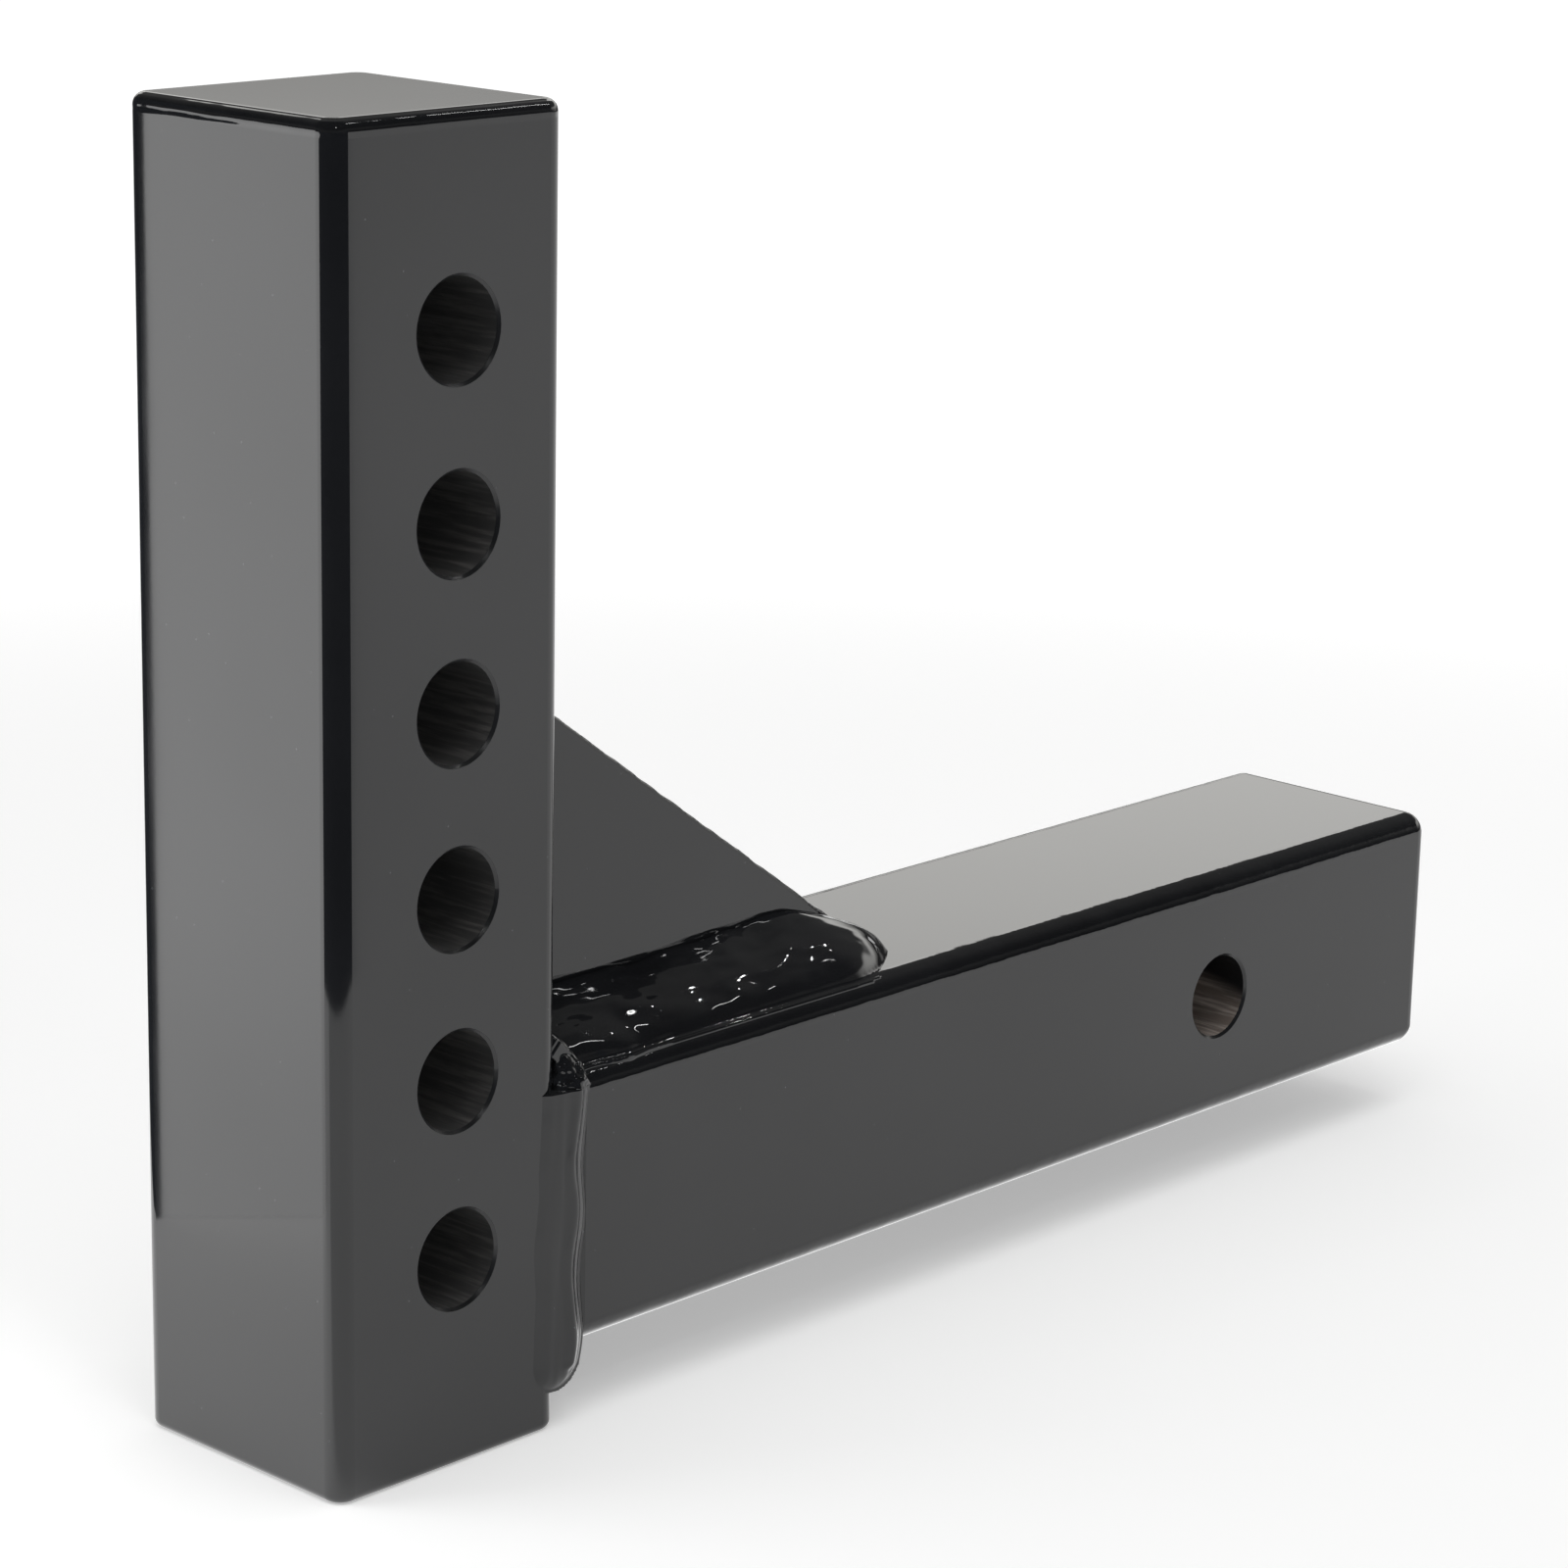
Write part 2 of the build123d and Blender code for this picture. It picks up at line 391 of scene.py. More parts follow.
def topArris(tree, place):
    # the ground edge round the top of the upright is uneven under the coat
    rise = partsOf(tree, place)["Z"]
    start, full = arrisShape["topEdge"]
    near = rampNode(tree, rise, uprightHigh.z - start, uprightHigh.z - full)
    start, full = arrisShape["topClear"]
    clear = rampNode(tree, rise, uprightHigh.z - start, uprightHigh.z - full)
    waves = noiseNode(tree, place, scale=arrisShape["topScale"], detail=2.0)
    tall = mathNode(tree, "MULTIPLY", waves, arrisShape["topHeight"])
    return mathNode(tree, "MULTIPLY", mathNode(tree, "MULTIPLY", near, clear), tall)


def shankArris(tree, place):
    # the rolled corners of the bar, a little uneven under the coat
    parts = partsOf(tree, place)
    start, full = arrisShape["corner"]
    across = mathNode(tree, "ABSOLUTE", parts["Y"])
    side = rampNode(tree, across, barSide - start, barSide - full)
    upward = mathNode(tree, "ABSOLUTE", parts["Z"])
    top = rampNode(tree, upward, shankTop - start, shankTop - full)
    waves = noiseNode(tree, place, scale=arrisShape["cornerScale"], detail=3.0)
    tall = mathNode(tree, "MULTIPLY", waves, arrisShape["cornerHeight"])
    return mathNode(tree, "MULTIPLY", mathNode(tree, "MULTIPLY", side, top), tall)


def gussetSlope():
    # top end of the sloping edge, its direction downwards, and the way out of the plate
    foot = Vector((plateHigh.x, 0.0, plateLow.z + gussetShape["toe"]))
    crown = Vector((plateLow.x + gussetShape["crown"], 0.0, plateHigh.z))
    along = (foot - crown).normalized()
    return crown, along, Vector((-along.z, 0.0, along.x))


def torchLines(tree, place):
    # drag lines that the torch left across the sloping edge of the gusset
    crown, along, outward = gussetSlope()
    given = vectorNode(tree, "SUBTRACT", place, crown)
    rise = vectorNode(tree, "DOT_PRODUCT", given, outward)
    run = vectorNode(tree, "DOT_PRODUCT", given, along)
    across = mathNode(tree, "MULTIPLY", partsOf(tree, place)["Y"], gussetShape["lineStretch"])
    spot = addNode(tree, "CombineXYZ", inputs={"X": run, "Y": across}).outputs["Vector"]
    lines = noiseNode(tree, spot, scale=gussetShape["lineScale"], detail=2.0)
    edge = rampNode(tree, rise, *gussetShape["lineEdge"])
    tall = mathNode(tree, "MULTIPLY", lines, gussetShape["lineHeight"])
    return mathNode(tree, "MULTIPLY", edge, tall)


gussetShape = {
    "toe": 6.35 * mm,
    "crown": 6.35 * mm,
    "edge": 0.6 * mm,
    "cuts": 150,
    "lineStretch": 0.12,
    "lineScale": 900.0,
    "lineEdge": (-0.9 * mm, -0.4 * mm),  # how far inside the edge the lines start
    "lineHeight": 0.10 * mm,
    "cutDepth": 1.2 * mm,  # what the torch roughened, in from the edge
    "cutStart": 2 * mm,  # and in from the plate's two ends
    "cutEnd": 1 * mm,
    "nicks": (((5 * mm, 30 * mm, 5 * mm), 0.60 * mm), ((1.3 * mm, 9 * mm, 1.3 * mm), 0.14 * mm)),
}
plainCoat = {
    "swellSize": 35 * mm,
    "swellHeight": 0.008 * mm,
    "peelHeight": 0.0004 * mm,
    "dustAndGlintSize": 0.05,
    "dustAndGlintShare": 0.45,
}
adjustBores = [name for name in bores if name.startswith("adjust")]
uprightCoat = makeCoat({
    **plainCoat, "name": "uprightCoat", "arris": topArris, "bores": adjustBores, "wall": boreSheenLook,
})
shankCoat = makeCoat({
    **plainCoat, "name": "shankCoat", "arris": shankArris, "bores": ["hitch_pin_hole"], "wall": pinLook,
})
plateCoat = makeCoat({**plainCoat, "name": "plateCoat", "arris": torchLines})
roughCoat = {
    "swellSize": 6 * mm,
    "swellHeight": 0.012 * mm,
    "peelHeight": 0.0008 * mm,
    "dustAndGlintSize": 0.06,
    "dustAndGlintShare": 0.8,
}
beadCoat = makeCoat({**roughCoat, "name": "beadCoat"})
sideCoat = makeCoat({**roughCoat, "name": "sideCoat", "roughness": 0.15})
print("finishes made")

for node, coat in (("upright_bar", uprightCoat), ("receiver_shank", shankCoat)):
    frame["nodes"][node].data.materials.clear()
    frame["nodes"][node].data.materials.append(coat)


# Gusset plate, cut from a block

def makeGusset():
    dropPick()
    middle = (plateLow + plateHigh) / 2
    bpy.ops.mesh.primitive_cube_add(size=1.0, location=middle)
    plate = bpy.context.active_object
    plate.scale = plateHigh - plateLow
    applyPlace(plate)
    crown, along, outward = gussetSlope()
    editPiece(plate)
    bpy.ops.mesh.select_all(action="SELECT")
    bpy.ops.mesh.bisect(plane_co=crown, plane_no=outward, clear_outer=True, use_fill=True)

    def onSlope(vert):
        return abs((vert.co - crown).dot(outward)) < 0.01 * mm

    pickVerts(plate, onSlope)
    bpy.ops.mesh.bevel(offset=gussetShape["edge"], segments=2, affect="EDGES")
    bpy.ops.mesh.select_all(action="DESELECT")
    mesh = bmesh.from_edit_mesh(plate.data)
    bpy.ops.mesh.select_mode(type="EDGE")
    for edge in mesh.edges:
        run = (edge.verts[1].co - edge.verts[0].co).normalized()
        edge.select = abs(run.dot(along)) > 0.999
    bmesh.update_edit_mesh(plate.data)
    bpy.ops.mesh.subdivide(number_cuts=gussetShape["cuts"])
    leaveEdit()
    cut = plate.vertex_groups.new(name="cut")
    start = plateLow.x + gussetShape["cutStart"]
    end = plateHigh.x - gussetShape["cutEnd"]
    cut.add([
        vert.index for vert in plate.data.vertices
        if (vert.co - crown).dot(outward) > -gussetShape["cutDepth"] and start < vert.co.x < end
    ], 1.0, "REPLACE")
    for size, height in gussetShape["nicks"]:
        roughen(plate, (0.004, 0.0, 0.001), size, height, "cut", 1, "Z")
    finishPiece(plate, "gusset", plateCoat, "black_coat", "gusset_plate")
    pickOnly(plate)
    bpy.ops.object.shade_smooth_by_angle(angle=math.radians(24))


makeGusset()
print("gusset cut")


# Weld beads

def raiseSheet(look, start):
    # a mound along X from start to the run's end, standing on Z 0, with a nose at its far end
    squeeze = look["nose"] / look["halfWidth"]
    margin = 6 * look["cell"]
    length = (look["run"] + margin - start) / squeeze
    width = 2 * (look["halfWidth"] + margin)
    dropPick()
    bpy.ops.mesh.primitive_grid_add(
        x_subdivisions=round(length * squeeze / look["cell"]),
        y_subdivisions=2 * round(width / look["cell"] / 2), size=1.0,
    )
    sheet = bpy.context.active_object
    sheet.scale = (length, width, 1)
    sheet.location = (start / squeeze + length / 2, 0, 0)
    applyPlace(sheet)
    editPiece(sheet)
    ridgeEnd = (look["run"] - look["nose"]) / squeeze
    pickVerts(sheet, lambda vert: abs(vert.co.y) < look["cell"] / 4 and vert.co.x < ridgeEnd)
    for shape, share in (("SPHERE", look["round"]), (look["crest"], 1 - look["round"])):
        bpy.ops.transform.translate(
            value=(0, 0, look["height"] * share), use_proportional_edit=True,
            proportional_edit_falloff=shape, proportional_size=look["halfWidth"],
        )
    leaveEdit()
    sheet.scale = (squeeze, 1, 1)
    applyPlace(sheet)
    if "ridge" in look:
        across, height, reach = look["ridge"]
        editPiece(sheet)
        noseStart = look["run"] - look["nose"]
        near = look["cell"] * 0.6
        pickVerts(sheet, lambda vert: abs(vert.co.y - across) < near and vert.co.x < noseStart)
        bpy.ops.transform.translate(
            value=(0, 0, height), use_proportional_edit=True,
            proportional_edit_falloff="SMOOTH", proportional_size=reach,
        )
        leaveEdit()
    if "rise" in look:
        taller, middle, reach = look["rise"]
        editPiece(sheet)
        pickVerts(sheet, lambda vert: abs(vert.co.y) < 7 * mm and abs(vert.co.x - middle) < 3 * mm)
        bpy.ops.transform.resize(
            value=(1, 1, taller), center_override=(0, 0, 0), use_proportional_edit=True,
            proportional_edit_falloff="SMOOTH", proportional_size=reach,
        )
        leaveEdit()
    return sheet


def holdGround(sheet, group):
    # puts the ground round the mound back on Z 0 after the mound has been worked
    editPiece(sheet)
    sheet.vertex_groups.active = group
    bpy.ops.object.vertex_group_select()
    bpy.ops.transform.resize(value=(1, 1, 0), center_override=(0, 0, 0))
    leaveEdit()


def workByHand(sheet, look, seed):
    # small moves along the run, so that the bead sways and swells as a hand laid it
    mathutils.noise.seed_set(seed)
    low = min(vert.co.x for vert in sheet.data.vertices)
    high = max(vert.co.x for vert in sheet.data.vertices)
    editPiece(sheet)
    for step in range(look["steps"]):
        middle = low + (high - low) * (step + mathutils.noise.random()) / look["steps"]
        spot = Vector((middle, look["halfWidth"] * (2 * mathutils.noise.random() - 1)))
        pickVerts(sheet, lambda vert: (vert.co.xy - spot).length < look["reach"] * 0.15)
        move = (
            0.4 * look["sway"] * (mathutils.noise.random() - 0.5),
            look["sway"] * (mathutils.noise.random() - 0.5),
            look["lift"] * (mathutils.noise.random() - 0.5),
        )
        bpy.ops.transform.translate(
            value=move, use_proportional_edit=True, proportional_edit_falloff="SMOOTH",
            proportional_size=look["reach"],
        )
    leaveEdit()


def closeSheet(sheet, sink, depth, keep):
    # trims the ground round a bead, sets its rim just under the steel and closes it below
    editPiece(sheet)
    pickVerts(sheet, lambda vert: vert.co.z > 0.02 * mm)
    for _ in range(keep):
        bpy.ops.mesh.select_more()
    bpy.ops.mesh.select_all(action="INVERT")
    bpy.ops.mesh.delete(type="VERT")
    bpy.ops.mesh.select_all(action="SELECT")
    bpy.ops.transform.translate(value=(0, 0, -sink))
    bpy.ops.mesh.select_all(action="DESELECT")
    bpy.ops.mesh.select_mode(type="EDGE")
    bpy.ops.mesh.select_non_manifold()
    bpy.ops.mesh.extrude_edges_move(TRANSFORM_OT_translate={"value": (0, 0, -depth)})
    bpy.ops.transform.resize(value=(1, 1, 0), center_override=(0, 0, -depth - sink))
    bpy.ops.mesh.edge_face_add()
    bpy.ops.mesh.select_all(action="SELECT")
    bpy.ops.mesh.normals_make_consistent(inside=False)
    leaveEdit()


def layBead(look, place, along, up, seed, start=0.0):
    # a closed bead that runs along one direction and stands up in another
    sheet = raiseSheet(look, start)
    ground = sheet.vertex_groups.new(name="ground")
    flat = [vert.index for vert in sheet.data.vertices if vert.co.z < look["skirt"]]
    ground.add(flat, 1.0, "REPLACE")
    workByHand(sheet, look, seed)
    holdGround(sheet, ground)
    crown = sheet.vertex_groups.new(name="crown")
    for vert in sheet.data.vertices:
        crown.add([vert.index], min(1.0, max(0.0, vert.co.z / look["crown"])), "REPLACE")
    for size, height in look["lumps"]:
        roughen(sheet, (seed * 0.01, 0, 0), size, height, "crown", 1)
    applyModifier(sheet, "SMOOTH", factor=0.5, iterations=look["smooth"])
    closeSheet(sheet, look["sink"], look["depth"], 3)
    along, up = Vector(along), Vector(up)
    turn = Matrix((along, up.cross(along), up)).transposed().to_4x4()
    sheet.matrix_world = Matrix.Translation(place) @ turn
    applyPlace(sheet)
    return sheet


def addKnot(look, place, seed):
    # a lump where two beads meet
    dropPick()
    bpy.ops.mesh.primitive_uv_sphere_add(segments=64, ring_count=32, radius=1.0, location=place)
    knot = bpy.context.active_object
    knot.scale = look["knot"]
    applyPlace(knot)
    for size, height in look["knotLumps"]:
        roughen(knot, (seed * 0.013, 0.002, 0), size, height)
    return knot


def fuse(pieces, cell, smooth):
    # makes one skin of overlapping closed pieces
    dropPick()
    for piece in pieces:
        piece.select_set(True)
    bpy.context.view_layer.objects.active = pieces[0]
    bpy.ops.object.join()
    whole = bpy.context.active_object
    whole.data.remesh_voxel_size = cell
    bpy.ops.object.voxel_remesh()
    applyModifier(whole, "SMOOTH", factor=0.5, iterations=smooth)
    return whole


footBead = {
    "run": 99.0 * mm,
    "halfWidth": 15.2 * mm,
    "height": 9.7 * mm,
    "nose": 23.0 * mm,
    "round": 0.5,
    "crest": "LINEAR",
    "offset": 7.3 * mm,  # crest of each run, from the middle of the gusset
    "cell": 0.4 * mm,
    "sway": 1.2 * mm,
    "lift": 1.0 * mm,
    "reach": 7.0 * mm,
    "steps": 52,
    "rise": (1.13, 78 * mm, 40 * mm),  # the bead thickens towards the toe
    "skirt": 0.14 * mm,  # lower than this the mound stays flat
    "crown": 3.0 * mm,
    "lumps": (((9 * mm, 3.2 * mm, 6 * mm), 0.5 * mm), ((4.5 * mm, 0.9 * mm, 2 * mm), 0.07 * mm)),
    "smooth": 3,
    "sink": 0.30 * mm,
    "depth": 1.2 * mm,
    "fuseCell": 0.45 * mm,
}


def makeFootBead():
    # one run on each side of the gusset, which meet round its toe
    runs = []
    for side, seed in ((-1, 4), (1, 17)):
        place = (backFace, side * footBead["offset"], shankTop)
        runs.append(layBead(footBead, place, (1, 0, 0), (0, 0, 1), seed, -1 * mm))
    bead = fuse(runs, footBead["fuseCell"], 2)
    finishPiece(bead, "foot_bead", beadCoat, "coated_weld", "gusset_foot_weld")


headBead = {
    "run": 73.5 * mm,
    "halfWidth": 14.3 * mm,
    "height": 7.8 * mm,
    "nose": 16.0 * mm,
    "round": 0.5,
    "crest": "LINEAR",
    "cell": 0.5 * mm,
    "sway": 0.9 * mm,
    "lift": 0.9 * mm,
    "reach": 6.0 * mm,
    "steps": 30,
    "skirt": 0.001 * mm,
    "crown": 2.0 * mm,
    "lumps": (((9 * mm, 4.0 * mm, 4 * mm), 0.4 * mm), ((4 * mm, 1.6 * mm, 3 * mm), 0.08 * mm)),
    "smooth": 3,
    "sink": 0.05 * mm,
    "depth": 1.2 * mm,
}


def makeHeadBead():
    bead = layBead(headBead, (backFace, 0, shankTop), (0, 0, 1), (1, 0, 0), 9, -1 * mm)
    finishPiece(bead, "head_bead", beadCoat, "coated_weld", "gusset_head_weld")


sideBead = {
    "run": 54.6 * mm,
    "halfWidth": 5.2 * mm,
    "height": 1.5 * mm,
    "nose": 5.2 * mm,
    "round": 0.35,
    "crest": "INVERSE_SQUARE",
    "cell": 0.2 * mm,
    "sway": 1.5 * mm,
    "lift": 0.10 * mm,
    "reach": 9.0 * mm,
    "steps": 22,
    "skirt": 0.001 * mm,
    "crown": 0.5 * mm,
    "lumps": (((34 * mm, 2.2 * mm, 4 * mm), 0.36 * mm), ((10 * mm, 1.2 * mm, 2 * mm), 0.03 * mm)),
    "smooth": 8,
    "sink": 0.03 * mm,
    "depth": 7.0 * mm,
    "shift": 1.1 * mm,  # middle of the bead, past the upright's back face
    "slant": 0.045,  # it leans towards the upright on its way down
    "ridge": (1.7 * mm, 0.75 * mm, 2.0 * mm),  # crest, off the middle towards the shank
    "top": 2.2 * mm,  # below the top of the shank
}


def makeSideBead(side, name, node, seed):
    place = (backFace + sideBead["shift"], side * barSide, shankTop - sideBead["top"])
    down = Vector((-sideBead["slant"], 0, -1)).normalized()
    across, height, reach = sideBead["ridge"]
    look = {**sideBead, "ridge": (-side * across, height, reach)}
    bead = layBead(look, place, down, (0, side, 0), seed)
    finishPiece(bead, name, sideCoat, "coated_weld", node)


cornerBead = {
    "run": 16.5 * mm,
    "halfWidth": 5.5 * mm,
    "height": 1.5 * mm,
    "nose": 3.0 * mm,
    "round": 0.4,
    "crest": "INVERSE_SQUARE",
    "cell": 0.3 * mm,
    "sway": 0.7 * mm,
    "lift": 0.6 * mm,
    "reach": 4.0 * mm,
    "steps": 14,
    "skirt": 0.001 * mm,
    "crown": 0.6 * mm,
    "lumps": (((4 * mm, 3 * mm, 3 * mm), 0.3 * mm),),
    "smooth": 2,
    "sink": 0.0,
    "depth": 3.2 * mm,
    "leg": 7.5 * mm,
    "knot": (4.3 * mm, 4.2 * mm, 5.6 * mm),
    "knotPlace": (3.7 * mm, -3.2 * mm, -2.3 * mm),  # from the corner of the upright and the shank's top
    "knotLumps": (
        ((3.0 * mm, 3.0 * mm, 3.0 * mm), 2.0 * mm),
        ((1.1 * mm, 1.1 * mm, 1.1 * mm), 0.6 * mm),
    ),
    "fuseCell": 0.2 * mm,
}


def makeTopBead(side, name, node, seed):
    slant = math.sqrt(0.5)
    ground = cornerBead["leg"] / 2
    place = (backFace + ground, side * plateSide, shankTop + ground)
    bead = layBead(cornerBead, place, (0, side, 0), (slant, 0, slant), seed, -1 * mm)
    out, rise, drop = cornerBead["knotPlace"]
    knot = addKnot(cornerBead, (backFace + out, side * (barSide + rise), shankTop + drop), seed)
    bead = fuse([bead, knot], cornerBead["fuseCell"], 3)
    finishPiece(bead, name, beadCoat, "coated_weld", node)


bottomBead = {
    "run": 46.0 * mm,
    "halfWidth": 4.8 * mm,
    "height": 1.3 * mm,
    "nose": 3.0 * mm,
    "round": 0.4,
    "crest": "INVERSE_SQUARE",
    "cell": 0.35 * mm,
    "sway": 0.8 * mm,
    "lift": 0.5 * mm,
    "reach": 4.5 * mm,
    "steps": 24,
    "skirt": 0.001 * mm,
    "crown": 0.6 * mm,
    "lumps": (((4 * mm, 3 * mm, 3 * mm), 0.3 * mm),),
    "smooth": 3,
    "sink": 0.0,
    "depth": 2.8 * mm,
    "leg": 6.5 * mm,
}


def makeBottomBead():
    slant = math.sqrt(0.5)
    ground = bottomBead["leg"] / 2
    place = (backFace + ground, -bottomBead["run"] / 2, shankBottom - ground)
    bead = layBead(bottomBead, place, (0, 1, 0), (slant, 0, -slant), 15)
    finishPiece(bead, "bottom_bead", beadCoat, "coated_weld", "shank_bottom_weld")


makeFootBead()
makeHeadBead()
makeSideBead(-1, "side_bead_right", "shank_side_weld_right", 21)
makeSideBead(1, "side_bead_left", "shank_side_weld_left", 33)
makeTopBead(-1, "top_bead_right", "shank_top_weld_right", 5)
makeTopBead(1, "top_bead_left", "shank_top_weld_left", 12)
makeBottomBead()
print("weld beads laid")


# Floor, light and camera

stage = {
    "floorSize": 7.0,
    "floorColour": (0.86, 0.86, 0.86, 1.0),
    "floorShade": (0.84, 0.84, 0.835, 1.0),
    "cameraLift": (0.34, 0.62),  # brings the pale floor up to white, near and far
    "mirrorLift": (0.345, 0.47),  # floor as the coat mirrors it, near and far
    "leftLift": (0.62, 0.575),  # the same in front of the left panel
    "underLift": 1.0,  # the same under the shank
    "backdropTint": (1.0, 0.992, 0.962, 1.0),
    "skyDiffuse": 0.46,
    "cardDistance": 0.30,
    "cardHeight": 0.27,
    "cardGlow": 0.05,
    "cardFrom": -68.0,
    "cardTo": 76.0,
    "cardGap": 0.5 * mm,  # between the card and the floor
    "cardTint": (0.85, 0.95, 1.15, 1.0),
    "cardCentre": (-0.21, 0.0),
    "backCardPlace": (-0.2443, 0.1562, 0.11),
    "backCardSize": (0.156, 0.30, 1),
    "middle": (-0.12, 0.0, floorHeight),  # near and far are measured from here
    "nearFar": (0.25, 1.1),
    "leftStart": (-0.215, -0.235),  # X where the patch in front of the left panel fades in
    "leftSpan": (-0.24, -0.31),  # and goes from near to far
    "leftSide": (-0.040, -0.020),  # Y where it fades in
    "underStart": (-0.185, -0.165),
    "underWidth": (0.030, 0.014),
    "behind": (0.73, 0.684, 0.0),  # level direction from the camera to the object
}
panel = {
    "place": (-0.3348, 0.0719, 0.0802),
    "width": 0.092,
    "height": 0.2376,
    "low": 2.07,
    "high": 2.47,
    "full": 0.04,  # height where it reaches its brightest
}
backdrop = {
    # as mirror rays meet it, each step from and to a height, then the levels
    "rise": (0.08, 0.26),
    "glow": (0.38, 1.63),
    "foot": (0.02, 0.10, 0.08, 1.0),
    "fade": (0.295, 0.37, 1.0, 0.07),
    "width": (0.15, 0.6, 0.06, 1.0),  # to either side of straight behind
}
viewShot = {
    "place": (-0.70075, -0.560588, 0.277997),
    "azimuth": -46.862,
    "elevation": 15.033,
    "roll": 1.171,
    "lens": 104.785,
}
lamps = {
    # name: place, aim, size, power, seen in reflections
    "overhead": ((-0.30, -0.50, 2.2), (0.0, 0.0, 0.0), (1.6, 1.6), 15.0, False),
    "strip": ((0.55, -0.05, 0.75), (-0.12, 0.0, 0.03), (0.03, 0.006), 0.07, True),
    "rightArrisLamp": ((0.424, -0.258, 0.784), (-0.21, -0.025, 0.19), (0.010, 0.16), 0.16, True),
    "leftArrisLamp": ((-0.466, 0.560, 0.82), (-0.23, 0.0, 0.19), (0.010, 0.08), 0.08, True),
    "rimLamp": ((-0.43, -0.65, 0.74), (-0.20, -0.025, 0.06), (0.05, 0.05), 0.22, True),
}


def facingCamera():
    # turns a flat plane upright, square to the way the camera looks
    return (math.radians(90), 0, math.radians(viewShot["azimuth"] + 90))


def makeFloor():
    material = bpy.data.materials.new("paleFloor")
    material.use_nodes = True
    tree = material.node_tree
    shader = tree.nodes["Principled BSDF"]
    place = addNode(tree, "TexCoord").outputs["Object"]
    mottle = noiseNode(tree, place, scale=3.0, detail=3.0)
    shade = mixColour(tree, mottle, stage["floorColour"], stage["floorShade"])
    tree.links.new(shade, shader.inputs["Base Color"])
    shader.inputs["Roughness"].default_value = 0.9
    shader.inputs["Specular IOR Level"].default_value = 0.0
    rays = addNode(tree, "LightPath").outputs
    away = vectorNode(tree, "DISTANCE", place, stage["middle"])
    far = rampNode(tree, away, *stage["nearFar"])
    seen = rampNode(tree, far, 0.0, 1.0, *stage["cameraLift"])
    mirrored = rampNode(tree, far, 0.0, 1.0, *stage["mirrorLift"])
    parts = partsOf(tree, place)
    left = mathNode(
        tree, "MULTIPLY",
        rampNode(tree, parts["X"], *stage["leftStart"]),
        rampNode(tree, parts["X"], *stage["leftSpan"], *stage["leftLift"]),
    )
    left = mathNode(tree, "MULTIPLY", left, rampNode(tree, parts["Y"], *stage["leftSide"]))
    across = mathNode(tree, "ABSOLUTE", parts["Y"])
    under = mathNode(
        tree, "MULTIPLY",
        rampNode(tree, parts["X"], *stage["underStart"]),
        rampNode(tree, across, *stage["underWidth"], 0.0, stage["underLift"]),
    )
    mirrored = mathNode(tree, "ADD", mirrored, mathNode(tree, "ADD", left, under))
    lift = mathNode(
        tree, "ADD",
        mathNode(tree, "MULTIPLY", rays["Is Camera Ray"], seen),
        mathNode(tree, "MULTIPLY", rays["Is Glossy Ray"], mirrored),
    )
    tree.links.new(lift, shader.inputs["Emission Strength"])
    shader.inputs["Emission Color"].default_value = (1.0, 1.0, 1.0, 1.0)
    dropPick()
    bpy.ops.mesh.primitive_plane_add(size=stage["floorSize"], location=(0.6, 0.6, floorHeight))
    floor = bpy.context.active_object
    floor.name = "floor"
    applyPlace(floor)
    floor.data.materials.append(material)


def makeCards():
    # a curved black card round the camera side, which only mirror rays meet
    black = bpy.data.materials.new("blackCard")
    black.use_nodes = True
    cardShader = black.node_tree.nodes["Principled BSDF"]
    cardShader.inputs["Base Color"].default_value = (0.0, 0.0, 0.0, 1.0)
    cardShader.inputs["Emission Color"].default_value = stage["cardTint"]
    cardShader.inputs["Emission Strength"].default_value = stage["cardGlow"]
    cardShader.inputs["Specular IOR Level"].default_value = 0.0
    centre = Vector((*stage["cardCentre"], floorHeight))
    toCamera = Vector(viewShot["place"]) - centre
    facing = math.degrees(math.atan2(toCamera.y, toCamera.x))
    start = math.radians(facing + stage["cardFrom"])
    sweep = math.radians(stage["cardTo"] - stage["cardFrom"])
    dropPick()
    bpy.ops.mesh.primitive_plane_add(size=1.0)
    card = bpy.context.active_object
    card.name = "blackCard"
    editPiece(card)
    bpy.ops.mesh.select_all(action="SELECT")
    bpy.ops.mesh.merge(type="CENTER")
    bpy.ops.transform.translate(value=(
        centre.x + stage["cardDistance"] * math.cos(start),
        centre.y + stage["cardDistance"] * math.sin(start),
        floorHeight + stage["cardGap"],
    ))
    bpy.ops.mesh.spin(steps=40, angle=-sweep, center=centre, axis=(0, 0, 1))
    bpy.ops.mesh.select_all(action="SELECT")
    bpy.ops.mesh.extrude_edges_move(TRANSFORM_OT_translate={"value": (0, 0, stage["cardHeight"])})
    leaveEdit()
    # and a small one behind the left panel's end
    dropPick()
    bpy.ops.mesh.primitive_plane_add(size=1.0, location=stage["backCardPlace"], rotation=facingCamera())
    backCard = bpy.context.active_object
    backCard.name = "backCard"
    backCard.scale = stage["backCardSize"]
    applyPlace(backCard)
    for piece in (card, backCard):
        piece.data.materials.append(black)
        piece.visible_camera = False
        piece.visible_diffuse = False
        piece.visible_shadow = False


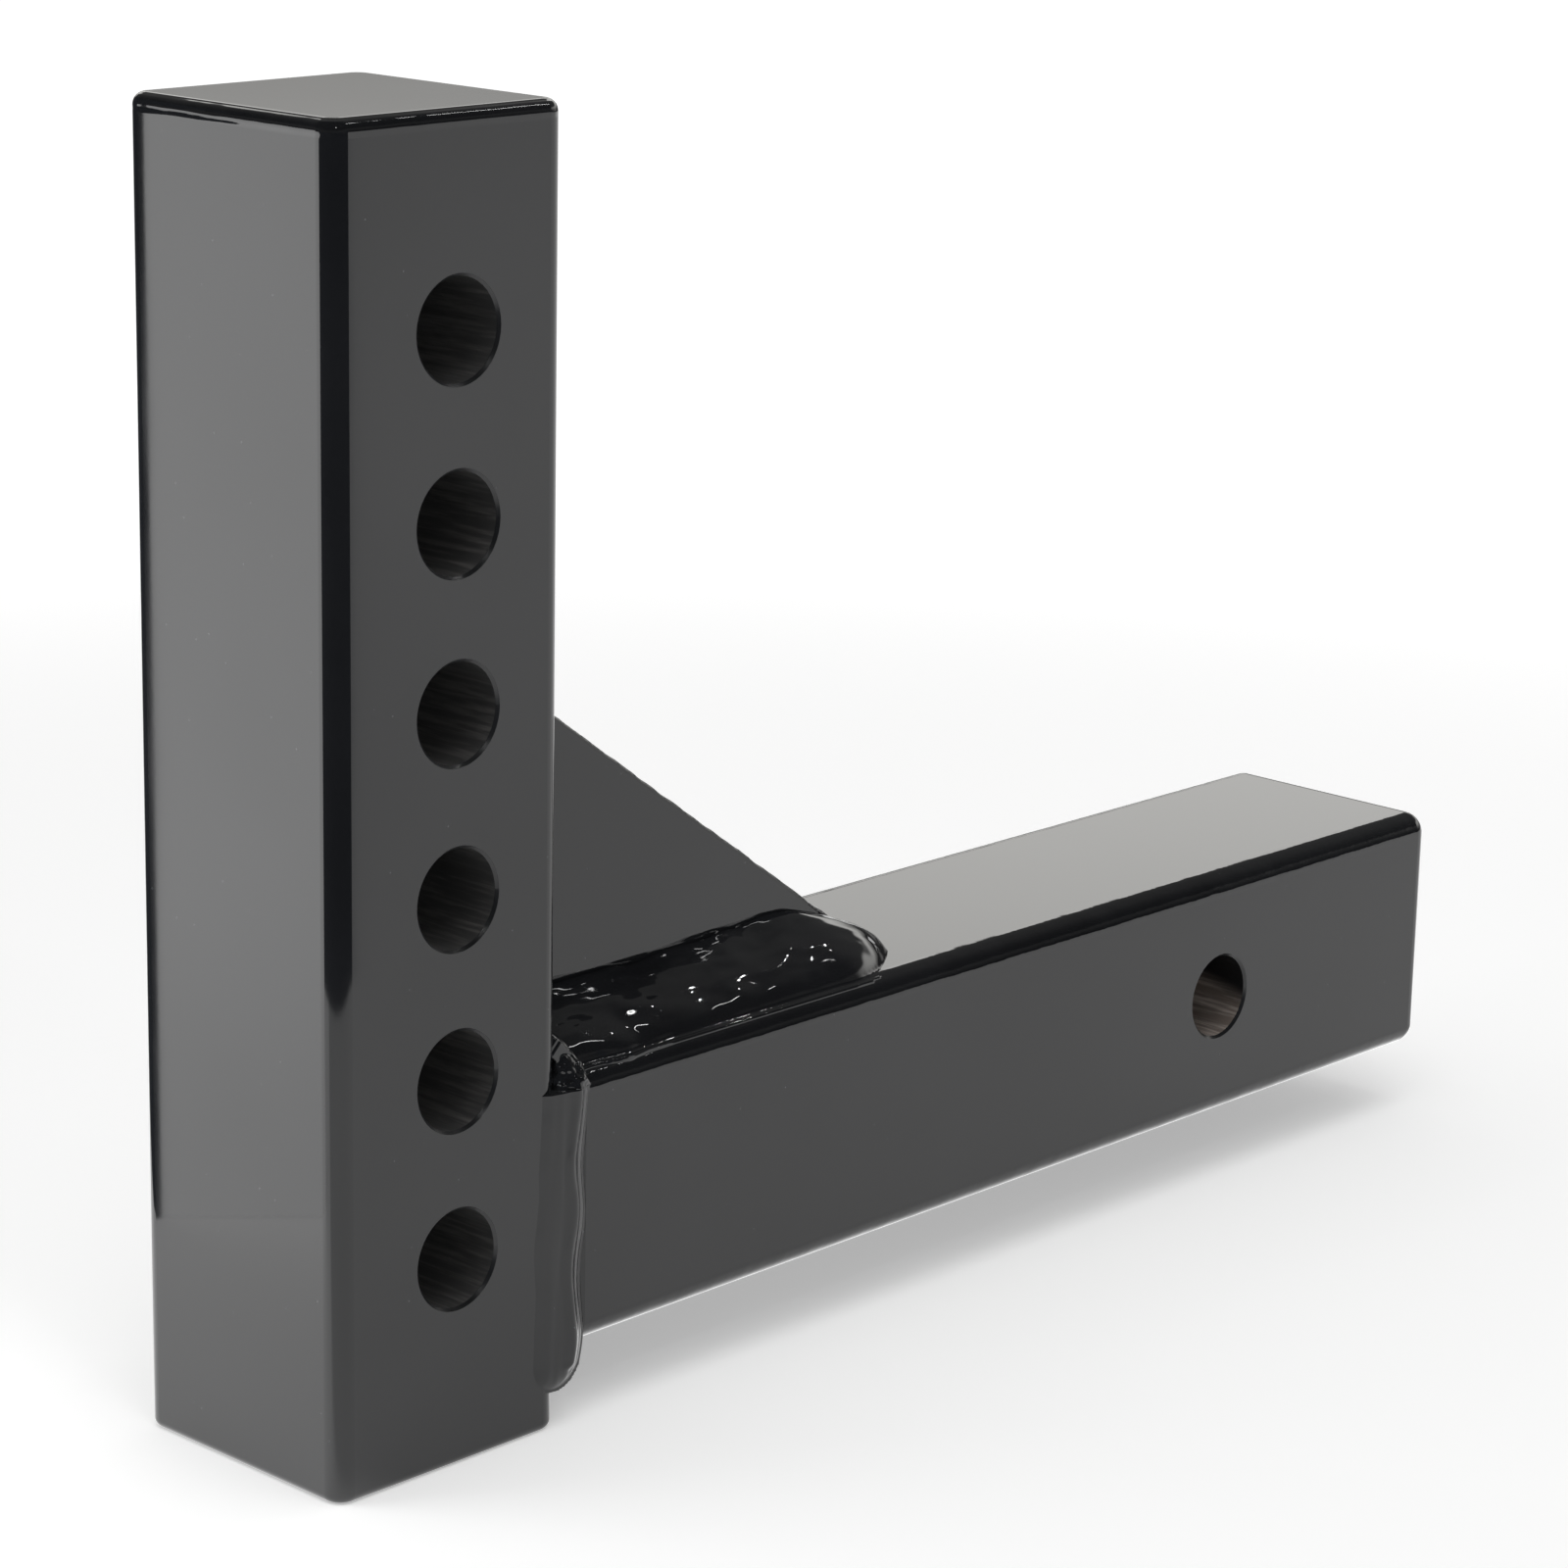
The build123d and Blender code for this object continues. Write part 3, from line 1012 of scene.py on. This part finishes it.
def makePanel():
    # tall soft panel left of the object, dimmer towards the floor
    material = bpy.data.materials.new("softPanel")
    material.use_nodes = True
    tree = material.node_tree
    tree.nodes.remove(tree.nodes["Principled BSDF"])
    place = addNode(tree, "TexCoord").outputs["Object"]
    rise = partsOf(tree, place)["Z"]
    level = rampNode(tree, rise, floorHeight, panel["full"], panel["low"], panel["high"])
    glow = addNode(tree, "Emission", inputs={"Color": (1.0, 1.0, 1.0, 1.0), "Strength": level})
    tree.links.new(glow.outputs["Emission"], tree.nodes["Material Output"].inputs["Surface"])
    dropPick()
    bpy.ops.mesh.primitive_plane_add(size=1.0, location=panel["place"], rotation=facingCamera())
    piece = bpy.context.active_object
    piece.name = "softPanel"
    piece.scale = (panel["width"], panel["height"], 1)
    applyPlace(piece)
    editPiece(piece)
    bpy.ops.mesh.select_all(action="SELECT")
    bpy.ops.mesh.subdivide(number_cuts=6)
    leaveEdit()
    piece.data.materials.append(material)
    piece.visible_camera = False
    piece.visible_shadow = False


def makeLamp(name, place, aim, size, power, mirrored):
    light = bpy.data.lights.new(name, "AREA")
    light.shape = "RECTANGLE"
    light.size, light.size_y = size
    light.energy = power
    lamp = bpy.data.objects.new(name, light)
    bpy.context.scene.collection.objects.link(lamp)
    lamp.location = place
    lamp.rotation_euler = (Vector(aim) - Vector(place)).to_track_quat("-Z", "Y").to_euler()
    lamp.visible_camera = False
    lamp.visible_glossy = mirrored


def makeWorld():
    world = bpy.data.worlds.new("studio")
    bpy.context.scene.world = world
    world.use_nodes = True
    tree = world.node_tree
    sky = tree.nodes["Background"]
    rays = addNode(tree, "LightPath").outputs
    direction = addNode(tree, "TexCoord").outputs["Generated"]
    rise = partsOf(tree, direction)["Z"]
    # behind the object the backdrop goes from grey at the floor to bright, then the dark room
    glow = rampNode(tree, rise, *backdrop["rise"], *backdrop["glow"])
    glow = mathNode(tree, "MULTIPLY", glow, rampNode(tree, rise, *backdrop["foot"]))
    fade = rampNode(tree, rise, *backdrop["fade"])
    behind = vectorNode(tree, "DOT_PRODUCT", direction, stage["behind"])
    back = rampNode(tree, behind, *backdrop["width"])
    mirrored = mathNode(tree, "MULTIPLY", mathNode(tree, "MULTIPLY", glow, fade), back)
    level = mixNode(tree, rays["Is Glossy Ray"], stage["skyDiffuse"], mirrored)
    level = mixNode(tree, rays["Is Camera Ray"], level, 1.0)
    tint = mixColour(tree, rays["Is Glossy Ray"], (1.0, 1.0, 1.0, 1.0), stage["backdropTint"])
    tree.links.new(tint, sky.inputs["Color"])
    tree.links.new(level, sky.inputs["Strength"])


def makeCamera():
    lens = bpy.data.cameras.new("shot")
    lens.lens = viewShot["lens"]
    lens.sensor_width = 36.0
    lens.clip_start = 0.02
    lens.clip_end = 30.0
    camera = bpy.data.objects.new("shot", lens)
    bpy.context.scene.collection.objects.link(camera)
    look = Euler((math.radians(90 - viewShot["elevation"]), 0, math.radians(viewShot["azimuth"])))
    roll = Matrix.Rotation(math.radians(viewShot["roll"]), 3, "Z")
    camera.rotation_euler = (look.to_matrix() @ roll).to_euler()
    camera.location = viewShot["place"]
    bpy.context.scene.camera = camera


makeFloor()
makeCards()
makePanel()
for name, values in lamps.items():
    makeLamp(name, *values)
makeWorld()
makeCamera()
bpy.context.scene.view_settings.view_transform = "Standard"
print("stage, lamps and camera set")
